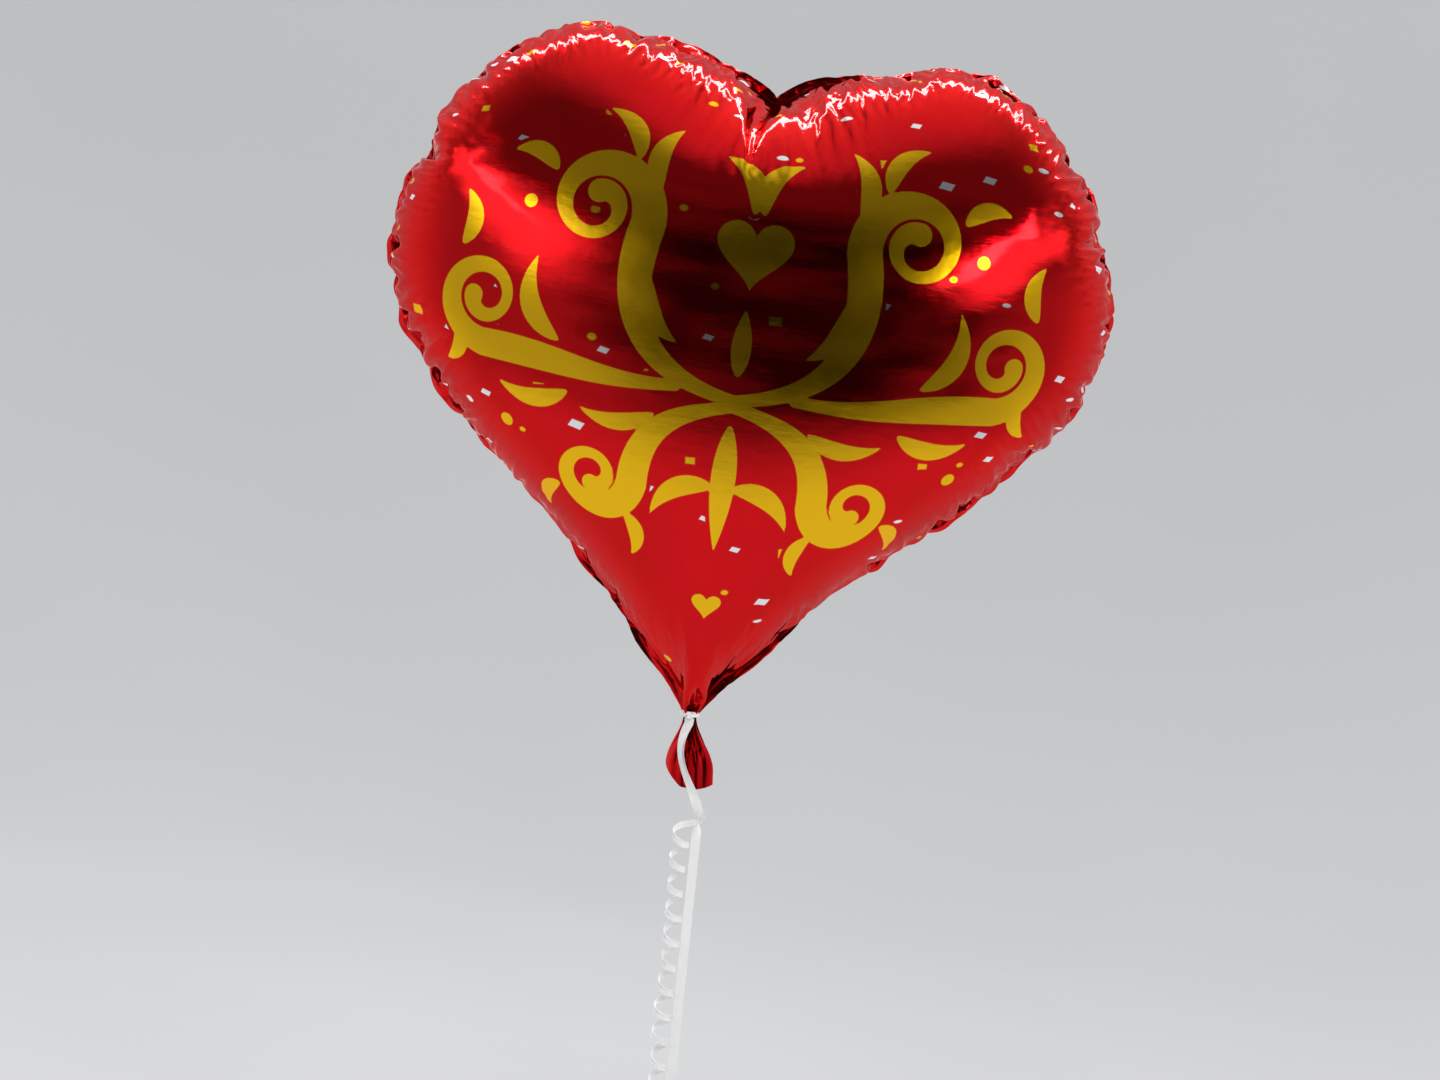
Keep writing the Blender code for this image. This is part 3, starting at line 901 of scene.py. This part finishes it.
def straight_x(z):
    return SPLIT_X + DRIFT * (SPLIT - z)


def lead_x(z):
    v = np.clip((LEAD_TOP - z) / (LEAD_TOP - SPLIT), 0, 1)
    return straight_x(SPLIT) * v**3 * (4 - 3 * v) - LEAD_BOW * np.sin(math.pi * v) * (1 - v)


def ribbon_grid(centres, across, width=RIBBON_WIDTH, columns=9, crown=0.10 * MM):
    """The ribbon's surface along a centre line, very slightly crowned across."""
    run = unit(np.gradient(centres, axis=0))
    across = unit(across - (across * run).sum(1)[:, None] * run)
    out = np.cross(across, run)
    u = np.linspace(-1, 1, columns)
    rise = crown * (1 - u * u) + 0.02 * MM * np.cos(u * math.pi * 4)
    beside = np.multiply.outer(np.broadcast_to(width, len(centres)), u) / 2
    return centres[:, None] + across[:, None] * beside[..., None] + out[:, None] * rise[None, :, None]


def ribbon_piece(name, centres, across, material, **shape):
    grid = ribbon_grid(centres, across, **shape)
    return sheet(name, grid, RIBBON_FILM, material, (1, run_along(centres)[-1] / (50 * MM)))


def hang(obj, tail, link):
    """Puts a tail's piece on its body: link 0 on the lead, and the last piece on the tail's last link. The
    pieces between stay where they are, on no body.
    """
    if link == 0:
        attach(obj, "ribbon_lead")
        return
    if link > LINKS:
        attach(obj, f"ribbon_{tail}_{LINKS}")
        return
    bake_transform(obj)


def lead_line(z, layer):
    """The shared lead, which falls back from under the knot. layer 0 is the front tail and 1 the back one."""
    ease = smooth((-1.2 * MM - z) / (9 * MM))
    y = -5.6 * MM * (1 - ease) + (RIBBON_Y - 0.12 * MM) * ease + layer * 0.34 * MM
    x = lead_x(z) + (layer - 0.5) * 0.7 * MM * np.sin((z + 4 * MM) / (11 * MM))
    return np.stack([x, y, z], 1)


def turned(run, angle):
    """The across direction of a ribbon that hangs along run, turned about it from facing the front."""
    run = unit(run)
    flat = unit(np.cross(run, np.array([0.0, 1.0, 0.0])[None, :]))
    out = np.cross(run, flat)
    return flat * np.cos(angle)[:, None] + out * np.sin(angle)[:, None]


def lead_turn(z):
    """How far the lead is turned from facing the front, most beside the tab."""
    return 0.95 * np.sin(math.pi * np.clip((z + 44 * MM) / (43 * MM), 0, 1)) ** 0.8


def build_straight(material):
    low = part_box("ribbon_straight_4")[0].z
    z = np.arange(LINE_TOP, low - 1e-6, -LINE_STEP)
    centres = lead_line(z, 0)
    below = z < SPLIT
    centres[below, 0] = straight_x(z[below])
    sway = np.clip((SPLIT - z) / (40 * MM), 0, 1)
    centres[:, 1] += 0.25 * MM * np.sin((z - SPLIT) / (23 * MM)) * sway
    twist = math.pi * smooth((-43 * MM - z) / (22 * MM)) + lead_turn(z)
    twist = twist + 0.22 * np.sin((z + 60 * MM) / (31 * MM)) * sway
    across = turned(np.gradient(centres, axis=0), twist)
    links = [SPLIT - (k + 0.5) * STRAIGHT_LINK for k in range(LINKS)]
    cuts = [z[0], -40 * MM] + links + [low]
    names = ("lead_front", "straight_1", "straight_2", "straight_3", "straight_4", "straight_end")
    for k, (top, bottom) in enumerate(zip(cuts[:-1], cuts[1:])):
        mine = (z <= top + OVERLAP) & (z >= bottom - OVERLAP)
        obj = ribbon_piece("ribbon_tail_" + names[k], centres[mine], across[mine], material)
        node = "ribbon_lead" if k == 0 else f"ribbon_straight_{k}"
        dress("ribbon", node if k <= LINKS else None)
        hang(obj, "straight", k)


def coil_line(turn):
    """The coiled tail's centre line and the outward direction of its loops."""
    angle = 2 * math.pi * turn
    z = COIL_TOP - COIL_PITCH * turn
    loose = np.clip(1 - turn / 0.6, 0, 1) ** 2
    uneven = 0.45 * MM * np.sin(0.83 * angle + 0.7) + 0.30 * MM * np.sin(0.29 * angle)
    radius = COIL_RADIUS + (COIL_OFFSET - COIL_RADIUS) * loose + uneven * (1 - loose)
    lean = 1.3 * MM * np.sin(angle + 0.6) * (1 - loose)
    x = straight_x(z) - COIL_OFFSET + radius * np.cos(angle) - 0.15 * MM * (1 - loose)
    y = RIBBON_Y + radius * np.sin(angle)
    outward = np.stack([np.cos(angle), np.sin(angle), np.zeros_like(angle)], 1)
    return np.stack([x, y, z + lean], 1), outward


def build_coil(material):
    z = np.arange(LINE_TOP, COIL_LEAD_END, -LINE_STEP)
    lead = lead_line(z, 1)
    lead_across = turned(np.gradient(lead, axis=0), lead_turn(z) + 0.12)
    turn = np.arange(COIL_START, COIL_CUTS[-1], 1 / COIL_STEPS)
    loops, outward = coil_line(turn)
    run = unit(np.gradient(loops, axis=0))
    loop_across = np.cross(run, outward)
    # the tail leaves the strand in a half twist between its last hanging point and its first loop
    gap = 26
    t = np.linspace(0, 1, gap + 2)[1:-1, None]
    reach = 9 * MM
    a, b = lead[-1], loops[0]
    leave = unit((lead[-1] - lead[-3])[None])[0]
    bridge = bezier((a, a + leave * reach, b - run[0] * reach, b), gap + 1)[1:-1]
    sign = 1 if loop_across[0] @ lead_across[-1] > -0.9 else -1
    bridge_across = unit(lead_across[-1] * (1 - t) + loop_across[0] * t * sign)
    centres = np.concatenate([lead, bridge, loops])
    across = np.concatenate([lead_across, bridge_across, loop_across])
    count = len(lead)
    first = count + gap
    # the curled tail is split lengthwise below the lead, so it is the narrower of the two
    widths = RIBBON_WIDTH * (1 - COIL_NARROWER * np.clip((np.arange(len(centres)) - count) / gap, 0, 1))
    starts = [first + int((cut - turn[0]) * COIL_STEPS) for cut in COIL_CUTS]
    links = [(starts[k] + starts[k + 1]) // 2 for k in range(LINKS)]
    bounds = [0, count - 12] + links + [len(centres) - 1]
    names = ("lead_back", "curl_1", "curl_2", "curl_3", "curl_4", "curl_end")
    for k, (low, high) in enumerate(zip(bounds[:-1], bounds[1:])):
        mine = slice(low, high + 1)
        name = "ribbon_curl_" + names[k]
        obj = ribbon_piece(name, centres[mine], across[mine], material, crown=-0.12 * MM, width=widths[mine])
        dress("ribbon", f"ribbon_curl_{k}" if 1 <= k <= LINKS else None)
        hang(obj, "curl", k)


def build_wrap(material):
    """Three turns of the ribbon pulled tight round the neck and bunched into a band."""
    turns, steps = 3, 72
    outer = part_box("ribbon_wrap")[1]
    inner_x, inner_y = outer.x - 1.1 * MM, outer.y - 1.1 * MM
    angle = np.linspace(-math.pi / 2, -math.pi / 2 + turns * 2 * math.pi, turns * steps + 1)
    layer = np.linspace(0, 1, len(angle))
    climb = 1.1 * MM * np.sin(angle * 0.36 + 0.4) * np.cos(0.21 * angle)
    columns = 15
    u = np.linspace(-1, 1, columns)
    fold = 0.12 * MM * np.cos(u[None, :] * math.pi * 3 + angle[:, None] * 0.8)
    out = 0.25 * MM + 0.55 * MM * layer[:, None] + fold - 0.12 * MM * u[None, :] ** 2
    x = (inner_x + out) * np.cos(angle)[:, None]
    y = (inner_y + out) * np.sin(angle)[:, None]
    z = climb[:, None] * (1 - 0.3 * layer[:, None]) + u[None, :] * 1.15 * MM
    obj = sheet("ribbon_turns", np.stack([x, y, z], 2), 0.14 * MM, material, (0.6, 2.0))
    dress("ribbon", "ribbon_wrap")
    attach(obj, "envelope")


def build_knot(material):
    """An overhand knot of gathered ribbon, drawn tight, as one closed tube."""
    low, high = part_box("ribbon_knot")
    centre = (low + high) / 2
    half = (high - low) / 2
    t = np.linspace(0, 2 * math.pi, 181)[:-1]
    path = np.stack([np.sin(t) + 2 * np.sin(2 * t), -np.sin(3 * t) * 1.25, np.cos(t) - 2 * np.cos(2 * t)], 1)
    tube = 0.95 * MM
    scale = np.array([half.x - tube, half.y - tube * 0.8, half.z - tube]) / np.abs(path).max(0)
    path = path * scale + np.array(centre)
    run = unit(np.roll(path, -1, 0) - np.roll(path, 1, 0))
    out = unit(path - np.array(centre))
    out = unit(out - (out * run).sum(1)[:, None] * run)
    side = np.cross(run, out)
    around = np.linspace(0, 2 * math.pi, 29)[:-1]
    pleat = 1 + 0.13 * np.cos(7 * around)[None, :] + 0.06 * np.sin(5 * t)[:, None]
    cos, sin = np.cos(around)[None, :, None], np.sin(around)[None, :, None]
    offset = out[:, None] * cos * 0.72 + side[:, None] * sin
    grid = path[:, None] + offset * (tube * pleat)[..., None]
    rows, columns = grid.shape[:2]
    index = np.arange(rows * columns).reshape(rows, columns)
    beside = np.roll(index, -1, 1)
    faces = np.stack([index, beside, np.roll(beside, -1, 0), np.roll(index, -1, 0)], 2).reshape(-1, 4)
    uv = np.stack(np.meshgrid(np.linspace(0, 1, columns), np.linspace(0, 3, rows)), 2).reshape(-1, 2)
    obj = new_mesh("ribbon_overhand_knot", grid.reshape(-1, 3), faces, material, uv)
    dress("ribbon", "ribbon_knot")
    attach(obj, "envelope")


# ---------------- stage, light and camera


def build_stage():
    """A pale floor that curves up all round into a backdrop. It lies outside the light the film mirrors."""
    floor = Nodes(bpy.data.materials.new("stage_grey"))
    cloud = floor.noise(floor.object_place(), 1.2, 3)
    base = floor.mix(floor.ramp(cloud, 0.3, 0.7), (0.12, 0.12, 0.12, 1), (0.15, 0.15, 0.15, 1))
    material = floor.finish(base=base, rough=0.9, glow=(0.97, 0.98, 1, 1), glow_power=0.45)
    level, radius, curve = -0.46, 3.2, 1.0
    bend = np.linspace(0, math.pi / 2, 25)
    across = np.r_[0.001, 1.0, radius - curve + curve * np.sin(bend), radius]
    height = np.r_[level, level, level + curve - curve * np.cos(bend), 4.0]
    around = np.linspace(0, 2 * math.pi, 97)
    x, y = np.multiply.outer(across, np.cos(around)), np.multiply.outer(across, np.sin(around))
    grid = np.stack([x, y, np.repeat(height[:, None], len(around), 1)], 2)
    obj = new_mesh("stage_floor", grid.reshape(-1, 3), grid_faces(len(across), len(around)), material)
    obj.visible_glossy = obj.visible_diffuse = obj.visible_shadow = False


# each a soft bright band between two directions, with half its width and its strength
WINDOWS = (
    ((-0.50, -0.86, 0.03), (-0.90, 0.06, 0.44), 0.24, 1.7),
    ((0.56, -0.82, 0.14), (0.90, 0.06, 0.46), 0.20, 1.6),
    ((0.52, -0.83, 0.17), (0.78, -0.30, 0.55), 0.05, 7.0),
    ((-0.62, -0.72, 0.16), (-0.84, -0.20, 0.50), 0.04, 5.0),
)


def build_world():
    """Soft light all round, dim in front of the balloon, where the camera stands, with windows beside it."""
    world = bpy.data.worlds.new("studio")
    bpy.context.scene.world = world
    sky = Nodes(world)
    direction = sky.node("ShaderNodeTexCoord").outputs["Generated"]
    _, y, z = sky.split(direction)
    haze = sky.noise(sky.mapped(direction, (1.0, 1.0, 4.2)), 2.4, 3.0)

    def ramp(*given):
        return sky.ramp(*given, shape="SMOOTHSTEP")

    def along(axis):
        node = sky.node("ShaderNodeVectorMath", operation="DOT_PRODUCT")
        sky.put(direction, node.inputs[0])
        node.inputs[1].default_value = axis
        return node.outputs["Value"]

    def window(one, two, half_width, strength):
        one, two = Vector(one).normalized(), Vector(two).normalized()
        centre = (one + two).normalized()
        run = (two - one).normalized()
        low, high = run.dot(one), run.dot(two)
        near = ramp(along(centre), 0.05, 0.25, 0.0, strength)
        place = along(run)
        ends = [ramp(place, low - 0.06, low + 0.16), ramp(place, high + 0.06, high - 0.16)]
        waver = sky.math("ADD", along(centre.cross(run)), ramp(haze, 0.3, 0.7, -0.035, 0.035))
        sides = [ramp(waver, edge, 0.2 * edge) for edge in (-half_width, half_width)]
        level = sky.math("MULTIPLY", near, sky.math("MULTIPLY", *ends))
        return sky.math("MULTIPLY", level, sky.math("MULTIPLY", *sides))

    ahead = sky.math("ADD", along((-0.20, 0.975, 0.08)), ramp(haze, 0.3, 0.7, -0.10, 0.10))
    room = ramp(ahead, -1.0, -0.55, 0.02, 0.46)
    ceiling = ramp(z, 0.06, 0.34, 1.0, 0.36)
    wall = ramp(y, -0.35, 0.45, 0.0, 0.40)
    floor = ramp(z, -0.34, -0.74, 0.0, 0.80)
    light = sky.math("MAXIMUM", sky.math("ADD", sky.math("MULTIPLY", room, ceiling), wall), floor)
    above = ramp(z, 0.80, 0.985, 0.0, 0.62)
    behind = sky.math("MULTIPLY", ramp(y, 0.1, 0.6), ramp(z, 0.08, 0.45, 0.0, 0.5))
    for more in [above, behind] + [window(*row) for row in WINDOWS]:
        light = sky.math("ADD", light, more)
    background = sky.tree.nodes["Background"]
    sky.put(light, background.inputs["Strength"])
    background.inputs["Color"].default_value = (0.96, 0.97, 1.0, 1)
    bpy.context.scene.view_settings.view_transform = "Standard"


def add_light(name, place, target, size, power, length):
    light = bpy.data.lights.new(name, "AREA")
    light.energy = power
    light.shape = "RECTANGLE"
    light.size = size
    light.size_y = length
    obj = bpy.data.objects.new(name, light)
    obj.location = place
    obj.rotation_euler = (Vector(target) - Vector(place)).to_track_quat("-Z", "Y").to_euler()
    bpy.context.scene.collection.objects.link(obj)
    return obj


def build_lights():
    # lights the ribbon evenly, and the film doesn't mirror it
    fill = add_light("fill_front", (0.5, -1.5, 1.0), (0, 0, 0), 1.6, 25, 1.2)
    fill.visible_glossy = False
    add_light("strip_above", (0, 1.0, 1.75), (0, 0, 0.2), 2.4, 60, 0.2)


def build_camera():
    """Straight on and a little above, rolled so that the heart leans to the right."""
    distance = 1.9
    elevation = math.radians(3.0)
    roll = math.radians(8.0)
    span = 0.744  # metres across the image at the balloon
    camera = bpy.data.cameras.new("camera")
    camera.sensor_width = 36
    camera.lens = 36 * distance / span
    obj = bpy.data.objects.new("camera", camera)
    bpy.context.scene.collection.objects.link(obj)
    # where the image's centre falls, in the heart's own axes
    right, up = 0.0155, 0.0905
    target = Matrix.Rotation(-roll, 3, "Y") @ Vector((right, 0, up))
    toward = Vector((0, math.cos(elevation), -math.sin(elevation)))
    turn = toward.to_track_quat("-Z", "Y").to_matrix().to_4x4()
    obj.matrix_world = Matrix.Translation(target - toward * distance) @ turn @ Matrix.Rotation(roll, 4, "Z")
    bpy.context.scene.camera = obj


def main():
    foil = foil_material("red_foil_printed", True)
    plain = foil_material("red_foil_plain", False)
    valve = frosted_material("frosted_valve_film")
    ribbon = ribbon_material("pearl_ribbon")
    build_panels(foil, plain)
    build_tab(plain, valve)
    build_valve(valve)
    build_straight(ribbon)
    build_coil(ribbon)
    build_wrap(ribbon)
    build_knot(ribbon)
    build_stage()
    build_world()
    build_lights()
    build_camera()


main()
